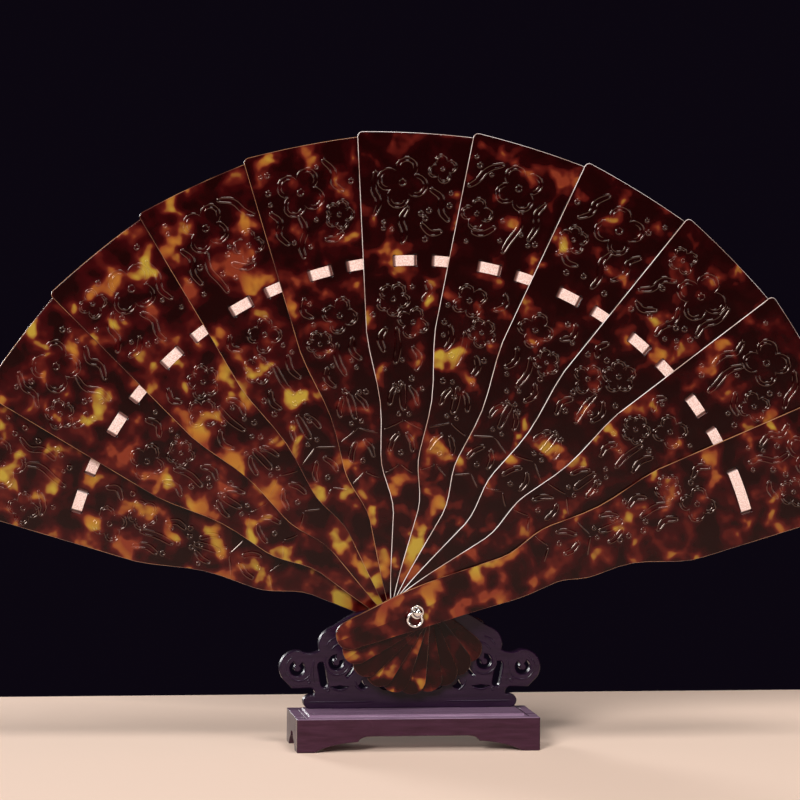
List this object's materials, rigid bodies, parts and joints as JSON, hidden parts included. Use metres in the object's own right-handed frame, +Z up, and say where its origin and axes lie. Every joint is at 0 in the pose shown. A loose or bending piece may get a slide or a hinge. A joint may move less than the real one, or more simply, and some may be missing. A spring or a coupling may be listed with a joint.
{
  "type": "decorative folding fan",
  "caption": "Brise folding fan of tortoiseshell-look blades on a ring rivet, joined by a woven ribbon, standing open on a scroll-carved wooden stand.",
  "frame": {"origin": "on the floor, under the middle of the stand's base", "axes": "+Z up, -Y out of the fan's carved front, +X to the right seen from the front; the middle blade stands along +Z"},
  "size_m": [0.4009, 0.038, 0.2644],
  "materials": {
    "shell": "polished, with amber translucent patches",
    "satin_ribbon": "satin",
    "polished_metal": "polished",
    "lacquered_wood": "dark lacquer, soft gloss"
  },
  "bodies": {
    "stand": {"base_front_apron": "lacquered_wood", "base_back_apron": "lacquered_wood", "base_left_apron": "lacquered_wood", "base_right_apron": "lacquered_wood", "base_top_panel": "lacquered_wood", "scroll_panel": "lacquered_wood"},
    "fan": {"stick_5": "shell", "ribbon_stick_5": "satin_ribbon", "rivet_pin": "polished_metal", "rivet_front_washer": "polished_metal", "rivet_rear_washer": "polished_metal"},
    "stick_6_body": {"stick_6": "shell", "ribbon_stick_6": "satin_ribbon"},
    "stick_7_body": {"stick_7": "shell", "ribbon_stick_7": "satin_ribbon"},
    "stick_8_body": {"stick_8": "shell", "ribbon_stick_8": "satin_ribbon"},
    "stick_9_body": {"stick_9": "shell", "ribbon_stick_9": "satin_ribbon"},
    "front_guard_body": {"front_guard": "shell", "ribbon_front_guard": "satin_ribbon"},
    "stick_4_body": {"stick_4": "shell", "ribbon_stick_4": "satin_ribbon"},
    "stick_3_body": {"stick_3": "shell", "ribbon_stick_3": "satin_ribbon"},
    "stick_2_body": {"stick_2": "shell", "ribbon_stick_2": "satin_ribbon"},
    "stick_1_body": {"stick_1": "shell", "ribbon_stick_1": "satin_ribbon"},
    "rear_guard_body": {"rear_guard": "shell", "ribbon_rear_guard": "satin_ribbon"},
    "ring": {"rivet_ring": "polished_metal"}
  },
  "joints": [
    {"name": "fan_lift", "type": "slide", "parent": "stand", "child": "fan", "axis": [0, 0, 1], "range_m": [0, 0.045]},
    {"name": "stick_6_pivot", "type": "hinge", "parent": "fan", "child": "stick_6_body", "pos_m": [0, -0.0015, 0.0588], "axis": [0, -1, 0], "range_deg": [0, 14]},
    {"name": "stick_7_pivot", "type": "hinge", "parent": "fan", "child": "stick_7_body", "pos_m": [0, -0.003, 0.0588], "axis": [0, -1, 0], "range_deg": [0, 28]},
    {"name": "stick_8_pivot", "type": "hinge", "parent": "fan", "child": "stick_8_body", "pos_m": [0, -0.0045, 0.0588], "axis": [0, -1, 0], "range_deg": [0, 42]},
    {"name": "stick_9_pivot", "type": "hinge", "parent": "fan", "child": "stick_9_body", "pos_m": [0, -0.006, 0.0588], "axis": [0, -1, 0], "range_deg": [0, 56]},
    {"name": "front_guard_pivot", "type": "hinge", "parent": "fan", "child": "front_guard_body", "pos_m": [0, -0.00795, 0.0588], "axis": [0, -1, 0], "range_deg": [0, 70]},
    {"name": "stick_4_pivot", "type": "hinge", "parent": "fan", "child": "stick_4_body", "pos_m": [0, 0.0015, 0.0588], "axis": [0, -1, 0], "range_deg": [-14, 0]},
    {"name": "stick_3_pivot", "type": "hinge", "parent": "fan", "child": "stick_3_body", "pos_m": [0, 0.003, 0.0588], "axis": [0, -1, 0], "range_deg": [-28, 0]},
    {"name": "stick_2_pivot", "type": "hinge", "parent": "fan", "child": "stick_2_body", "pos_m": [0, 0.0045, 0.0588], "axis": [0, -1, 0], "range_deg": [-42, 0]},
    {"name": "stick_1_pivot", "type": "hinge", "parent": "fan", "child": "stick_1_body", "pos_m": [0, 0.006, 0.0588], "axis": [0, -1, 0], "range_deg": [-56, 0]},
    {"name": "rear_guard_pivot", "type": "hinge", "parent": "fan", "child": "rear_guard_body", "pos_m": [0, 0.01355, 0.0588], "axis": [0, -1, 0], "range_deg": [-70, 0]},
    {"name": "ring_swing", "type": "hinge", "parent": "fan", "child": "ring", "pos_m": [0, -0.01116, 0.0588], "axis": [-0.9205, 0, 0.3907], "range_deg": [-8, 150]}
  ],
  "couplings": [
    {"joint": "stick_7_pivot", "follows": "stick_6_pivot", "ratio": 2},
    {"joint": "stick_8_pivot", "follows": "stick_6_pivot", "ratio": 3},
    {"joint": "stick_9_pivot", "follows": "stick_6_pivot", "ratio": 4},
    {"joint": "front_guard_pivot", "follows": "stick_6_pivot", "ratio": 5},
    {"joint": "stick_4_pivot", "follows": "stick_6_pivot", "ratio": -1},
    {"joint": "stick_3_pivot", "follows": "stick_6_pivot", "ratio": -2},
    {"joint": "stick_2_pivot", "follows": "stick_6_pivot", "ratio": -3},
    {"joint": "stick_1_pivot", "follows": "stick_6_pivot", "ratio": -4},
    {"joint": "rear_guard_pivot", "follows": "stick_6_pivot", "ratio": -5}
  ]
}
